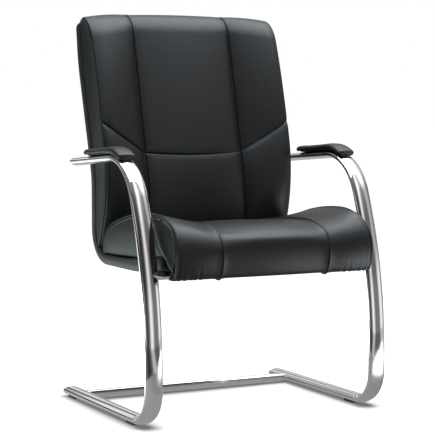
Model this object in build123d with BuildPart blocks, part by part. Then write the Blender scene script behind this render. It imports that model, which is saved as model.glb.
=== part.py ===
"""Cantilever visitor armchair: bent oval tube frame, plywood shell and sewn leather cushions.

Millimetres. +Z is up, the sitter faces -Y, and the origin is on the floor under the middle of the chair.
"""
import os
from math import atan2, cos, degrees, hypot, radians, sin, sqrt, tan

from build123d import *

os.makedirs("parts", exist_ok=True)

# Side frames: one bent oval tube a side
tube_width = 44.0
tube_thickness = 20.0
tube_wall = 1.8
runner_rear_y = 246.5
runner_length = 412.0
glide_height = 3.5
front_bend_radius = 77.0
front_bend_angle = 87.9
bow_radius = 1045.0
bow_angle = 24.0
shoulder_radius = 136.0
arm_slope = 4.0
arm_length = 225.0
weld_gap = 0.2
frame_clearance = 10.5

# Cross tubes
cross_tube_diameter = 20.0
cross_tube_wall = 1.5
floor_tube_y = 176.5
seat_tube_z = 345.0

# Tube plugs and floor glides
plug_flange = 2.5
plug_round = 1.6
plug_depth = 16.0
plug_clearance = 0.3
plug_wall = 2.0
glide_length = 38.0
glide_width = 24.0
glide_side_height = 3.0
glide_peg_diameter = 6.0
glide_peg_height = 5.0
front_glide_y = -135.0
rear_glide_y = 217.0

# Arm pads, with places along the arm measured from its rear end
pad_start = 85.0
pad_bend_angle = 28.0
pad_height = 13.0
pad_foot_half = 18.5
pad_widest_half = 23.0
pad_widest_height = 4.5
pad_shoulder_half = 20.5
pad_shoulder_height = 9.0
pad_top_half = 14.5
pad_end_round = 2.5
base_thickness = 2.5
base_half = 14.0
base_skirt = 3.0
base_inset = 12.0
pad_screw_rear = 115.0
pad_screw_front = 205.0
pad_screw_diameter = 5.6
pad_screw_head_diameter = 11.0
pad_screw_head_height = 3.5
pad_screw_head_taper = 25.0
pad_screw_grip = 8.0
screw_clearance = 0.3

# Shell that carries the cushions, drawn along its inner face
shell_half = 259.0
shell_thickness = 25.0
shell_edge_round = 7.0
shell_front_y = -206.0
shell_rise_y = -71.0
shell_rise_angle = 6.4
shell_rise_radius = 300.0
shell_seat_z = 363.0
shell_corner_radius = 60.0
shell_back_y = 168.5
shell_bend_z = 550.0
shell_bend_radius = 220.0
back_recline = 16.7
shell_upper_z = 830.0
shell_upper_radius = 400.0
upper_recline = 7.0
shell_top_z = 930.0
shell_top_corner = 18.0
plywood_thickness = 11.0
plywood_margin = 12.0
plywood_clearance = 0.2

# Seat rails and the bolts that hold the shell on them
rail_width = 40.0
rail_thickness = 6.0
rail_x = 105.0
rail_rear_y = 97.0
bolt_places = (-35.0, 71.0)
bolt_diameter = 6.0
bolt_head_diameter = 10.5
bolt_head_height = 5.5
bolt_socket_diameter = 5.0
bolt_socket_depth = 3.0
bolt_hole_clearance = 0.5
washer_diameter = 16.0
washer_thickness = 1.6
t_nut_flange_diameter = 19.0
t_nut_flange_thickness = 1.5
t_nut_barrel_diameter = 8.4
t_nut_barrel_length = 8.0

# Cushions: half widths of their upright seams, and how far their corner seams and bands lie inside the shell
back_seam_half = 132.0
back_corner_inset = 6.0
back_band_inset = 1.0
back_band_setback = 7.0
back_foot_z = 366.0
back_panel_puff = 8.0
back_top_puff = 6.0
seat_seam_half = 138.0
seat_corner_inset = 9.0
seat_band_inset = 4.5
seat_band_setback = 6.0
seat_panel_puff = 6.0
nose_bottom_z = 336.0
nose_round = 16.0
nose_back_y = -241.0
nose_under_z = 360.0
roll_split_angle = 22.0
piping_diameter = 5.2
piping_gap = 0.1
piping_rear_share = 0.75

# Back cushion in side view, as (y, z): foot, low middle, cross seam, high middle, shoulder, apex
back_seam_line = (
    (127.0, back_foot_z), (122.0, 460.0), (150.0, 605.0), (186.5, 755.0), (224.5, 905.0), (265.0, 943.0)
)
back_centre_line = (
    (120.0, back_foot_z), (112.0, 460.0), (145.5, 598.0), (171.0, 750.0), (213.0, 903.0), (267.0, 949.0)
)
back_corner_line = (
    (156.0, back_foot_z), (101.0, 555.0), (122.5, 680.0), (149.5, 790.0), (186.0, 900.0), (241.0, 938.0)
)

# Seat cushion in side view, as (y, z): rear foot, rear top, crest, front
seat_seam_line = ((104.0, 352.0), (80.0, 430.0), (-173.5, 452.0), (-279.5, 372.0))
seat_centre_line = ((95.0, 352.0), (70.0, 435.0), (-175.0, 460.0), (-286.5, 376.0))
seat_corner_line = ((137.0, 356.0), (83.0, 441.0), (-152.0, 478.0), (-283.5, 378.0))

# Steps between the lofted sections of a cushion, and the tolerance for finding edges
middle_steps = 4
side_steps = 3
edge_tolerance = 0.5

tube_a = tube_width / 2
tube_b = tube_thickness / 2
frame_half = shell_half + frame_clearance + tube_a
pad_screw_places = (pad_screw_rear, pad_screw_front)
back_corner_half = shell_half - back_corner_inset
back_band_half = shell_half - back_band_inset
seat_corner_half = shell_half - seat_corner_inset
seat_band_half = shell_half - seat_band_inset
shell_radii = (shell_rise_radius, shell_corner_radius, shell_bend_radius, shell_upper_radius)
runner_z = glide_height + tube_b
shoulder_angle = 180.0 + arm_slope - front_bend_angle - bow_angle
cross_tube_radius = cross_tube_diameter / 2
side_axis = Vector(1, 0, 0)


def blend(first, second, share):
    """Points part of the way from one side-view line to another."""
    return [tuple(p + (q - p) * share for p, q in zip(one, two)) for one, two in zip(first, second)]


def spread(start, end, steps):
    """Evenly spaced places from start to end."""
    return [start + (end - start) * step / steps for step in range(steps + 1)]


def moved_forward(line, steps):
    """A side-view line with each point moved towards the front by its own step."""
    return [(y - step, z) for (y, z), step in zip(line, steps)]


def shell_corners(front_trim=0.0, top_trim=0.0):
    """Corners of the shell's inner face in side view, from the front of the seat to the top of the back."""
    front_y = shell_front_y + front_trim
    front_z = shell_seat_z + (shell_rise_y - front_y) * tan(radians(shell_rise_angle))
    upper_y = shell_back_y + (shell_upper_z - shell_bend_z) * tan(radians(back_recline))
    top_z = shell_top_z - top_trim
    top_y = upper_y + (top_z - shell_upper_z) * tan(radians(upper_recline))
    return [
        (front_y, front_z),
        (shell_rise_y, shell_seat_z),
        (shell_back_y, shell_seat_z),
        (shell_back_y, shell_bend_z),
        (upper_y, shell_upper_z),
        (top_y, top_z),
    ]


def shell_strip(depth, front_trim=0.0, top_trim=0.0):
    """Face between the shell's inner face and a line at the given depth behind or below it."""
    with BuildSketch(Plane.YZ) as strip:
        with BuildLine():
            FilletPolyline(*shell_corners(front_trim, top_trim), radius=shell_radii)
            offset(amount=depth, side=Side.RIGHT)
        make_face()
    return strip.sketch


# Centre line of the right side frame, from the runner's rear end round to the arm's rear end
with BuildLine(Plane.YZ.offset(frame_half)) as frame_path:
    runner = Line((runner_rear_y, runner_z), (runner_rear_y - runner_length, runner_z))
    front_bend = JernArc(runner @ 1, runner % 1, front_bend_radius, -front_bend_angle)
    bow = JernArc(front_bend @ 1, front_bend % 1, bow_radius, -bow_angle)
    shoulder = JernArc(bow @ 1, bow % 1, shoulder_radius, -shoulder_angle)
    arm = Line(shoulder @ 1, shoulder @ 1 + (shoulder % 1) * arm_length)

runner_plane = Plane(origin=runner @ 0, x_dir=side_axis, z_dir=runner % 0)
arm_rear = arm @ 1
arm_forward = (arm % 1) * -1
arm_up = side_axis.cross(arm % 1)
arm_plane = Plane(origin=arm_rear, x_dir=arm_forward, z_dir=arm_up)
arm_end_plane = Plane(origin=arm_rear, x_dir=side_axis, z_dir=arm % 1)
runner_end_plane = Plane(origin=runner @ 0, x_dir=side_axis, z_dir=(runner % 0) * -1)

# Where the seat cross tube meets the bowed upright
bow_centre = bow.arc_center
seat_tube_y = bow_centre.Y - sqrt(bow_radius**2 - (seat_tube_z - bow_centre.Z) ** 2)
seat_joint = Vector(frame_half, seat_tube_y, seat_tube_z)
upright_plane = Plane(origin=seat_joint, x_dir=side_axis, z_dir=side_axis.cross(seat_joint - bow_centre))

# Side frames, drilled for the pad screws, with wider holes below to pass their heads, and for the glide pegs
with BuildPart() as side_frame_right:
    with BuildSketch(runner_plane):
        Ellipse(tube_a, tube_b)
        Ellipse(tube_a - tube_wall, tube_b - tube_wall, mode=Mode.SUBTRACT)
    sweep(path=frame_path.line)
    with BuildSketch(arm_plane):
        with Locations(*[(place, 0) for place in pad_screw_places]):
            Circle(pad_screw_diameter / 2 + screw_clearance)
    extrude(amount=tube_thickness, mode=Mode.SUBTRACT)
    with BuildSketch(arm_plane):
        with Locations(*[(place, 0) for place in pad_screw_places]):
            Circle(pad_screw_head_diameter / 2 + screw_clearance)
    extrude(amount=-tube_thickness, mode=Mode.SUBTRACT)
    with BuildSketch(Plane.XY):
        with Locations((frame_half, front_glide_y), (frame_half, rear_glide_y)):
            Circle(glide_peg_diameter / 2 + plug_clearance)
    extrude(amount=runner_z, mode=Mode.SUBTRACT)

with BuildPart() as side_frame_left:
    mirror(side_frame_right.part, about=Plane.YZ)

# Cross tubes, with ends coped to the oval tubes
with BuildPart() as floor_cross_tube:
    with BuildSketch(Plane.YZ):
        with Locations((floor_tube_y, runner_z)):
            Circle(cross_tube_radius)
            Circle(cross_tube_radius - cross_tube_wall, mode=Mode.SUBTRACT)
    extrude(amount=frame_half)
    with BuildSketch(Plane.XZ.offset(-floor_tube_y)):
        with Locations((frame_half, runner_z)):
            Ellipse(tube_a + weld_gap, tube_b + weld_gap)
    extrude(amount=cross_tube_diameter, both=True, mode=Mode.SUBTRACT)
    mirror(about=Plane.YZ)

with BuildPart() as seat_cross_tube:
    with BuildSketch(Plane.YZ):
        with Locations((seat_tube_y, seat_tube_z)):
            Circle(cross_tube_radius)
            Circle(cross_tube_radius - cross_tube_wall, mode=Mode.SUBTRACT)
    extrude(amount=frame_half)
    with BuildSketch(upright_plane):
        Ellipse(tube_a + weld_gap, tube_b + weld_gap)
    extrude(amount=cross_tube_diameter, both=True, mode=Mode.SUBTRACT)
    mirror(about=Plane.YZ)


def tube_plug(end_plane):
    """Plastic plug for an open tube end: a flange over the rim and a hollow stem inside it."""
    stem_a = tube_a - tube_wall - plug_clearance
    stem_b = tube_b - tube_wall - plug_clearance
    with BuildPart() as plug:
        with BuildSketch(end_plane):
            Ellipse(tube_a, tube_b)
        extrude(amount=plug_flange)
        fillet(plug.faces().sort_by(Axis(end_plane.origin, end_plane.z_dir))[-1].edges(), plug_round)
        with BuildSketch(end_plane):
            Ellipse(stem_a, stem_b)
            Ellipse(stem_a - plug_wall, stem_b - plug_wall, mode=Mode.SUBTRACT)
        extrude(amount=-plug_depth)
    return plug.part


arm_plug = tube_plug(arm_end_plane)
runner_plug = tube_plug(runner_end_plane)

with BuildPart() as arm_end_plugs:
    add(arm_plug)
    mirror(about=Plane.YZ)

with BuildPart() as runner_end_plugs:
    add(runner_plug)
    mirror(about=Plane.YZ)


def saddle_glide(glide_y):
    """Glide under the right runner, held by a peg in the tube's lower wall."""
    with BuildPart() as glide:
        with BuildSketch(Plane.XZ.offset(-glide_y)):
            with Locations((frame_half, 0)):
                Rectangle(glide_width, glide_height + glide_side_height, align=(Align.CENTER, Align.MIN))
            with Locations((frame_half, runner_z)):
                Ellipse(tube_a + weld_gap, tube_b + weld_gap, mode=Mode.SUBTRACT)
        extrude(amount=glide_length / 2, both=True)
        with BuildSketch(Plane.XY.offset(glide_height / 2)):
            with Locations((frame_half, glide_y)):
                Circle(glide_peg_diameter / 2)
        extrude(amount=glide_peg_height)
    return glide.part


front_glide = saddle_glide(front_glide_y)
rear_glide = saddle_glide(rear_glide_y)

with BuildPart() as front_glides:
    add(front_glide)
    mirror(about=Plane.YZ)

with BuildPart() as rear_glides:
    add(rear_glide)
    mirror(about=Plane.YZ)

# Arm pads follow the arm and the top of the shoulder bend, on a strip that keeps them off the tube
pad_level = tube_b + base_thickness
with BuildLine(Plane.YZ.offset(frame_half)) as pad_path:
    pad_foot = arm_rear + arm_forward * pad_start + arm_up * pad_level
    pad_run = Line(pad_foot, pad_foot + arm_forward * (arm_length - pad_start))
    JernArc(pad_run @ 1, pad_run % 1, shoulder_radius + pad_level, pad_bend_angle)

with BuildPart() as arm_pad_right:
    with BuildSketch(Plane(origin=pad_foot, x_dir=side_axis, z_dir=arm_forward)):
        with BuildLine():
            Polyline(
                (0, 0),
                (pad_foot_half, 0),
                (pad_widest_half, pad_widest_height),
                (pad_shoulder_half, pad_shoulder_height),
                (pad_top_half, pad_height),
                (0, pad_height),
            )
            mirror(about=Plane.YZ)
        make_face()
    sweep(path=pad_path.line)
    pad_ends = arm_pad_right.faces().filter_by(GeomType.PLANE).sort_by(Axis.Y)
    chamfer(pad_ends[0].edges() + pad_ends[-1].edges(), pad_end_round)
    with BuildSketch(arm_plane.offset(pad_level)):
        with Locations(*[(place, 0) for place in pad_screw_places]):
            Circle(pad_screw_diameter / 2 + screw_clearance)
    extrude(amount=pad_screw_grip + screw_clearance, mode=Mode.SUBTRACT)

with BuildPart() as arm_pad_left:
    mirror(arm_pad_right.part, about=Plane.YZ)

with BuildPart() as arm_pad_base_right:
    base_origin = arm_rear + arm_forward * (pad_start + base_inset)
    with BuildSketch(Plane(origin=base_origin, x_dir=side_axis, z_dir=arm_forward)):
        with Locations((0, pad_level)):
            Rectangle(2 * base_half, base_thickness + base_skirt, align=(Align.CENTER, Align.MAX))
        Ellipse(tube_a + weld_gap, tube_b + weld_gap, mode=Mode.SUBTRACT)
    extrude(amount=arm_length - pad_start - base_inset)
    with BuildSketch(arm_plane):
        with Locations(*[(place, 0) for place in pad_screw_places]):
            Circle(pad_screw_diameter / 2 + screw_clearance)
    extrude(amount=tube_thickness, mode=Mode.SUBTRACT)

with BuildPart() as arm_pad_base_left:
    mirror(arm_pad_base_right.part, about=Plane.YZ)

with BuildPart() as arm_pad_screws:
    inner_a = tube_a - tube_wall
    inner_b = tube_b - tube_wall
    screw_seat = inner_b * sqrt(1 - (pad_screw_head_diameter / 2 / inner_a) ** 2)
    screw_length = pad_level + pad_screw_grip - screw_seat
    with BuildSketch(arm_plane.offset(screw_seat)):
        with Locations(*[(place, 0) for place in pad_screw_places]):
            Circle(pad_screw_diameter / 2)
    extrude(amount=screw_length)
    with BuildSketch(arm_plane.offset(screw_seat)):
        with Locations(*[(place, 0) for place in pad_screw_places]):
            Circle(pad_screw_head_diameter / 2)
    extrude(amount=-pad_screw_head_height, taper=pad_screw_head_taper)
    mirror(about=Plane.YZ)

# Plywood shell, bored for the T-nuts
bolt_grid = [(side * rail_x, place) for side in (-1, 1) for place in bolt_places]
with BuildPart() as plywood_shell:
    plywood_strip = shell_strip(plywood_thickness, plywood_margin, plywood_margin)
    extrude(plywood_strip, amount=shell_half - plywood_margin, both=True)
    with BuildSketch(Plane.XY.offset(shell_seat_z)):
        with Locations(*bolt_grid):
            Circle(t_nut_flange_diameter / 2 + plywood_clearance)
    extrude(amount=-t_nut_flange_thickness - plywood_clearance, mode=Mode.SUBTRACT)
    with BuildSketch(Plane.XY.offset(shell_seat_z)):
        with Locations(*bolt_grid):
            Circle(t_nut_barrel_diameter / 2 + plywood_clearance)
    extrude(amount=-2 * plywood_thickness, mode=Mode.SUBTRACT)

# Padded leather cover behind and under the plywood, with a rim round the plywood's edges
with BuildLine(Plane.YZ.offset(shell_half)) as rim_line:
    FilletPolyline(*shell_corners(), radius=shell_radii)

with BuildPart() as outer_cover:
    extrude(shell_strip(shell_thickness), amount=shell_half)
    top_face = outer_cover.faces().sort_by(Axis.Z)[-1]
    fillet(top_face.edges().sort_by(Axis.X)[-1], shell_top_corner)
    side_edges = outer_cover.edges().filter_by_position(
        Axis.X, shell_half - edge_tolerance, shell_half + edge_tolerance
    )
    rim_depth = shell_thickness - edge_tolerance
    outer_rim = [edge for edge in side_edges if rim_line.line.distance_to(edge @ 0.5) > rim_depth]
    fillet(outer_rim, shell_edge_round)
    pocket_margin = plywood_margin - plywood_clearance
    pocket = shell_strip(plywood_thickness + plywood_clearance, pocket_margin, pocket_margin)
    extrude(pocket, amount=shell_half - pocket_margin, mode=Mode.SUBTRACT)
    with BuildSketch(Plane.XY):
        with Locations(*[(rail_x, place) for place in bolt_places]):
            Circle(t_nut_barrel_diameter / 2 + plywood_clearance)
    extrude(amount=shell_seat_z, mode=Mode.SUBTRACT)
    mirror(about=Plane.YZ)

# Steel straps under the shell, welded to the seat cross tube
shell_under_z = shell_seat_z - shell_thickness
rail_under_z = shell_under_z - rail_thickness
with BuildPart() as seat_rail_right:
    rail_reach = seat_tube_y + cross_tube_radius / 2 - shell_front_y
    extrude(shell_strip(shell_thickness + rail_thickness, rail_reach), amount=rail_x + rail_width / 2)
    extrude(shell_strip(shell_thickness, rail_reach - rail_width), amount=frame_half, mode=Mode.SUBTRACT)
    split(bisect_by=Plane.YZ.offset(rail_x - rail_width / 2), keep=Keep.TOP)
    split(bisect_by=Plane.XZ.offset(-rail_rear_y), keep=Keep.TOP)
    with BuildSketch(Plane.YZ):
        with Locations((seat_tube_y, seat_tube_z)):
            Circle(cross_tube_radius + weld_gap)
    extrude(amount=frame_half, mode=Mode.SUBTRACT)
    with BuildSketch(Plane.XY):
        with Locations(*[(rail_x, place) for place in bolt_places]):
            Circle(bolt_diameter / 2 + bolt_hole_clearance)
    extrude(amount=shell_seat_z, mode=Mode.SUBTRACT)

with BuildPart() as seat_rail_left:
    mirror(seat_rail_right.part, about=Plane.YZ)

with BuildPart() as seat_washers:
    with BuildSketch(Plane.XY.offset(rail_under_z)):
        with Locations(*bolt_grid):
            Circle(washer_diameter / 2)
            Circle(bolt_diameter / 2 + bolt_hole_clearance, mode=Mode.SUBTRACT)
    extrude(amount=-washer_thickness)

with BuildPart() as seat_bolts:
    bolt_seat_z = rail_under_z - washer_thickness
    bolt_length = shell_seat_z - t_nut_flange_thickness - bolt_seat_z
    with BuildSketch(Plane.XY.offset(bolt_seat_z)):
        with Locations(*bolt_grid):
            Circle(bolt_diameter / 2)
    extrude(amount=bolt_length)
    with BuildSketch(Plane.XY.offset(bolt_seat_z)):
        with Locations(*bolt_grid):
            Circle(bolt_head_diameter / 2)
    extrude(amount=-bolt_head_height)
    with BuildSketch(Plane.XY.offset(bolt_seat_z - bolt_head_height)):
        with Locations(*bolt_grid):
            RegularPolygon(bolt_socket_diameter / 2, 6)
    extrude(amount=bolt_socket_depth, mode=Mode.SUBTRACT)

with BuildPart() as t_nuts:
    t_nut_bore = bolt_diameter / 2 + plywood_clearance
    with BuildSketch(Plane.XY.offset(shell_seat_z)):
        with Locations(*bolt_grid):
            Circle(t_nut_flange_diameter / 2)
            Circle(t_nut_bore, mode=Mode.SUBTRACT)
    extrude(amount=-t_nut_flange_thickness)
    with BuildSketch(Plane.XY.offset(shell_seat_z)):
        with Locations(*bolt_grid):
            Circle(t_nut_barrel_diameter / 2)
            Circle(t_nut_bore, mode=Mode.SUBTRACT)
    extrude(amount=-t_nut_barrel_length)

# Back cushion: three crowned columns that meet in the upright seams
behind_top_y = shell_corners()[-1][0] + shell_thickness
behind_foot_y = shell_back_y + plywood_thickness


def back_section(x, line):
    """Side-view section of the back cushion, run into the shell so that it can be cut to seat on it."""
    foot, low_middle, seam, high_middle, shoulder_point, apex = line
    with BuildSketch(Plane.YZ.offset(x)) as section:
        with BuildLine():
            ThreePointArc(foot, low_middle, seam)
            face_line = ThreePointArc(seam, high_middle, shoulder_point)
            TangentArc(shoulder_point, apex, tangent=face_line % 1)
            Polyline(apex, (behind_top_y, apex[1]), (behind_foot_y, foot[1]), foot)
        make_face()
    return section.sketch


def back_panel_line(x):
    """Side-view line at a place across the back: crowned between the seams, winged beyond them."""
    if x <= back_seam_half:
        return blend(back_seam_line, back_centre_line, 1 - (x / back_seam_half) ** 2)
    share = (x - back_seam_half) / (back_corner_half - back_seam_half)
    puff = 4 * back_panel_puff * share * (1 - share)
    line = moved_forward(
        blend(back_seam_line, back_corner_line, share), (0, puff, puff / 3, puff, puff, 0)
    )
    apex_y, apex_z = line[-1]
    return line[:-1] + [(apex_y, apex_z + 4 * back_top_puff * share * (1 - share))]


with BuildPart() as back_cushion:
    middle_places = spread(-back_seam_half, back_seam_half, middle_steps)
    loft([back_section(x, back_panel_line(abs(x))) for x in middle_places])
    wing_places = spread(back_seam_half, back_corner_half, side_steps)
    loft([back_section(x, back_panel_line(x)) for x in wing_places])
    band_line = moved_forward(back_corner_line, [-back_band_setback] * len(back_corner_line))
    band_apex = (band_line[-1][0], band_line[-1][1] - back_band_setback)
    corner_section = back_section(back_corner_half, back_corner_line)
    loft([corner_section, back_section(back_band_half, band_line[:-1] + [band_apex])], ruled=True)
    split(bisect_by=Plane.YZ, keep=Keep.TOP)
    mirror(about=Plane.YZ)
    seat_of_back = shell_strip(3 * shell_thickness, 0, -3 * shell_thickness)
    extrude(seat_of_back, amount=frame_half, both=True, mode=Mode.SUBTRACT)

# Seat cushion: a crowned middle, side bolsters and a front roll that hangs before the shell


def roll_radii(crest, front):
    """Radii of the two tangent arcs that carry the top of the seat over into its front."""
    turn = radians(roll_split_angle)
    reach = crest[0] - front[0]
    drop = crest[1] - front[1]
    scale = sin(turn) * cos(turn) - (1 - sin(turn)) * (1 - cos(turn))
    first = (reach * cos(turn) - drop * (1 - sin(turn))) / scale
    second = (drop * sin(turn) - reach * (1 - cos(turn))) / scale
    return first, second


def seat_top_edges(line, grow=0.0, rear_share=1.0):
    """Rear foot to nose bottom: rear, crown, two roll arcs and the straight front, grown outwards if asked."""
    rear_foot, rear_top, crest, front = line
    run = rear_top[0] - crest[0]
    drop = crest[1] - rear_top[1]
    crown_radius = (run**2 + drop**2) / (2 * drop)
    crown_angle = degrees(2 * atan2(drop, run))
    rear_run = rear_foot[0] - rear_top[0]
    rear_drop = rear_top[1] - rear_foot[1]
    rear_turn = 2 * (degrees(atan2(rear_drop, rear_run)) - crown_angle)
    rear_radius = hypot(rear_run, rear_drop) / (2 * sin(radians(rear_turn / 2)))
    first, second = roll_radii(crest, front)
    top = (crest[0], crest[1] + grow)
    crown = JernArc(top, (1, 0), crown_radius + grow, -crown_angle)
    JernArc(crown @ 1, crown % 1, rear_radius + grow, -rear_turn * rear_share)
    near = JernArc(top, (-1, 0), first + grow, roll_split_angle)
    far = JernArc(near @ 1, near % 1, second + grow, 90 - roll_split_angle)
    Line(far @ 1, (front[0] - grow, nose_bottom_z + nose_round))


def seat_section(x, line):
    """Side-view section of the seat cushion, run into the shell so that it can be cut to seat on it."""
    rear_foot = line[0]
    front = line[-1]
    with BuildSketch(Plane.YZ.offset(x)) as section:
        with BuildLine():
            seat_top_edges(line)
            nose_start = (front[0], nose_bottom_z + nose_round)
            nose = TangentArc(nose_start, (front[0] + nose_round, nose_bottom_z), tangent=(0, -1))
            Polyline(
                nose @ 1,
                (nose_back_y, nose_bottom_z),
                (nose_back_y, nose_under_z),
                (shell_front_y + plywood_margin, nose_under_z),
                rear_foot,
            )
        make_face()
    return section.sketch


def seat_panel_line(x):
    """Side-view line at a place across the seat: crowned between the seams, raised beyond them."""
    if x <= seat_seam_half:
        return blend(seat_seam_line, seat_centre_line, 1 - (x / seat_seam_half) ** 2)
    share = (x - seat_seam_half) / (seat_corner_half - seat_seam_half)
    puff = 4 * seat_panel_puff * share * (1 - share)
    line = blend(seat_seam_line, seat_corner_line, share)
    rear_foot, rear_top, crest, front = line
    return [rear_foot, rear_top, (crest[0], crest[1] + puff), (front[0] - puff, front[1])]


with BuildPart() as seat_cushion:
    middle_places = spread(-seat_seam_half, seat_seam_half, middle_steps)
    loft([seat_section(x, seat_panel_line(abs(x))) for x in middle_places])
    bolster_places = spread(seat_seam_half, seat_corner_half, side_steps)
    loft([seat_section(x, seat_panel_line(x)) for x in bolster_places])
    rear_foot, rear_top, crest, front = seat_corner_line
    band_line = (
        (rear_foot[0] - seat_band_setback, rear_foot[1]),
        (rear_top[0] - seat_band_setback, rear_top[1] - seat_band_setback),
        (crest[0], crest[1] - seat_band_setback),
        (front[0] + seat_band_setback, front[1]),
    )
    corner_section = seat_section(seat_corner_half, seat_corner_line)
    loft([corner_section, seat_section(seat_band_half, band_line)], ruled=True)
    split(bisect_by=Plane.YZ, keep=Keep.TOP)
    mirror(about=Plane.YZ)
    extrude(shell_strip(3 * shell_thickness), amount=frame_half, both=True, mode=Mode.SUBTRACT)

# Welt cord outside each side seam of the seat
piping_reach = piping_diameter / 2 + piping_gap
piping_x = seat_corner_half + piping_reach / 2
with BuildLine(Plane.YZ.offset(piping_x)) as piping_path:
    seat_top_edges(seat_corner_line, piping_reach, piping_rear_share)

with BuildPart() as seat_piping_right:
    piping_wire = piping_path.wire()
    with BuildSketch(Plane(origin=piping_wire @ 0, z_dir=piping_wire % 0)):
        Circle(piping_diameter / 2)
    sweep(path=piping_wire)

with BuildPart() as seat_piping_left:
    mirror(seat_piping_right.part, about=Plane.YZ)

pieces = {
    "side_frame_left": side_frame_left,
    "side_frame_right": side_frame_right,
    "floor_cross_tube": floor_cross_tube,
    "seat_cross_tube": seat_cross_tube,
    "seat_rail_left": seat_rail_left,
    "seat_rail_right": seat_rail_right,
    "arm_end_plugs": arm_end_plugs,
    "runner_end_plugs": runner_end_plugs,
    "front_glides": front_glides,
    "rear_glides": rear_glides,
    "arm_pad_left": arm_pad_left,
    "arm_pad_right": arm_pad_right,
    "arm_pad_base_left": arm_pad_base_left,
    "arm_pad_base_right": arm_pad_base_right,
    "arm_pad_screws": arm_pad_screws,
    "plywood_shell": plywood_shell,
    "outer_cover": outer_cover,
    "back_cushion": back_cushion,
    "seat_cushion": seat_cushion,
    "seat_piping_left": seat_piping_left,
    "seat_piping_right": seat_piping_right,
    "seat_bolts": seat_bolts,
    "seat_washers": seat_washers,
    "t_nuts": t_nuts,
}
for name, piece in pieces.items():
    piece.part.label = name
    export_step(piece.part, f"parts/{name}.step")
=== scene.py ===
"""Looks for the cantilever visitor armchair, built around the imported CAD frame.

The chair's shapes are worked out in millimetres, in the CAD frame, and written to meshes in metres.
The studio is worked out in metres.
"""

import math
from functools import partial

import bmesh
import bpy
import numpy as np
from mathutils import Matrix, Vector


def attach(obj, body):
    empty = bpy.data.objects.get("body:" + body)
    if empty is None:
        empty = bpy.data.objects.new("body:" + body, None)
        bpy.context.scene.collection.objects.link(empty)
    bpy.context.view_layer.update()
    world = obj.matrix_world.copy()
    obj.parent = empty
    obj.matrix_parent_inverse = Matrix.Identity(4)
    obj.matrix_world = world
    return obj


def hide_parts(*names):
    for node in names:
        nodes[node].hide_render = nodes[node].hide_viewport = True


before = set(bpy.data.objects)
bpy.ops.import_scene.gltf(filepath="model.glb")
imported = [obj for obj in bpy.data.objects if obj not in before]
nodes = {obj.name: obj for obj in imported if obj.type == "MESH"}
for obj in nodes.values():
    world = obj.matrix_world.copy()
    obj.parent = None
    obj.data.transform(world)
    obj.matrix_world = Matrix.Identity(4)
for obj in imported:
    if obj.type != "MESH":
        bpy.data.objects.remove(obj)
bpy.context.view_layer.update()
scene = bpy.context.scene
MM = 0.001
SIDES = ((-1, "left"), (1, "right"))

# Camera, fitted to the photograph
EYE = (-1.7416, -3.3974, 0.7358)
AIM = (-0.0044, 0.0089, 0.4504)
LENS = 131.14

# Shell, as in the CAD. Side views are in (y, z)
SHELL_HALF = 259.0
SHELL_DEPTH = 25.0
SHELL_FRONT = -206.0
SHELL_CORNER = (108.5, 423.0)
SHELL_BEND = 60.0
SHELL_END = 985.0
SEAT_Z = 363.0
SEAT_RISES = ((SHELL_FRONT, -88, -54), (15.14, 2.0, 0))
BACK_SLOPES = ((518, 582, 796, 864), (0, 0.3, 0.3, 0.1228))

# Side frames, as in the CAD. A run is a straight length and 0, or a radius and a bend in degrees
FRAME_HALF = 291.5
TUBE_HALF = 22.0
TUBE_RISE = 10.0
TUBE_WALL = 1.8
RUNNER_REAR = (246.5, 13.5)
FRAME_RUNS = ((412.0, 0.0), (77.0, 87.9), (1045.0, 24.0), (136.0, 72.1), (225.0, 0.0))
ARM_REAR = np.array((192.4, 585.0))
ARM_SLOPE = math.radians(4.0)
ARM_AHEAD = np.array((-math.cos(ARM_SLOPE), math.sin(ARM_SLOPE)))
ARM_UP = np.array((math.sin(ARM_SLOPE), math.cos(ARM_SLOPE)))
PAD_SCREWS = (115.0, 205.0)
PAD_SCREW_BORE = 3.1
PAD_SCREW_ACCESS = 5.8
GLIDE_PEGS = (-135.0, 217.0)
GLIDE_BORE = 3.3

# Cushions, as in the CAD: seams across, and points in side view of their centre, seam and corner lines
BACK_SEAM = 132.0
BACK_CORNER = 254.0
BACK_BAND = 259.0
SEAT_SEAM = 138.0
SEAT_CORNER = 249.0
SEAT_BAND = 254.5
NOSE_BOTTOM = 336.0
NOSE_BACK = -241.0
NOSE_TUCK = 9.0
NOSE_ROUND = (11.0, 10.0)
ROLL_SPLIT = math.radians(22.0)
BACK_LINES = (
    ((120, 366), (111, 470), (132, 599), (170, 750), (213, 903), (267, 949)),
    ((127, 366), (122, 460), (150, 605), (185.5, 755), (220.5, 904), (265, 946.5)),
    ((156, 366), (101, 555), (122.5, 680), (149.5, 790), (181, 886), (241, 938)),
)
SEAT_LINES = (
    ((95, 352), (70, 435), (-175, 460), (-287.5, 392)),
    ((104, 352), (80, 430), (-173.5, 452), (-280.5, 388)),
    ((137, 356), (83, 441), (-152, 478), (-284.5, 392)),
)

# Meshes: usual and finer spacing, and distances from a seam at which they get their finest rows
MESH_STEP = 7.0
FINE_STEP = 3.5
NEAR_SEAM = (0, 1.3, 2.6, 4.0, 5.6, 8.0, 11.5, 16.0, 22.0)
TUBE_SIDES = 64
DRILL_SIDES = 24
DRILL_REACH = 20.0
SHARP_EDGE = math.radians(40)
# A direction that no cord follows
SKEW = (0.31, 0.62, 0.72)

# Swelling of the cushions by cloth simulation
SWELL_FRAMES = 20
SMOOTH_ROUNDS = 60

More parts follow.
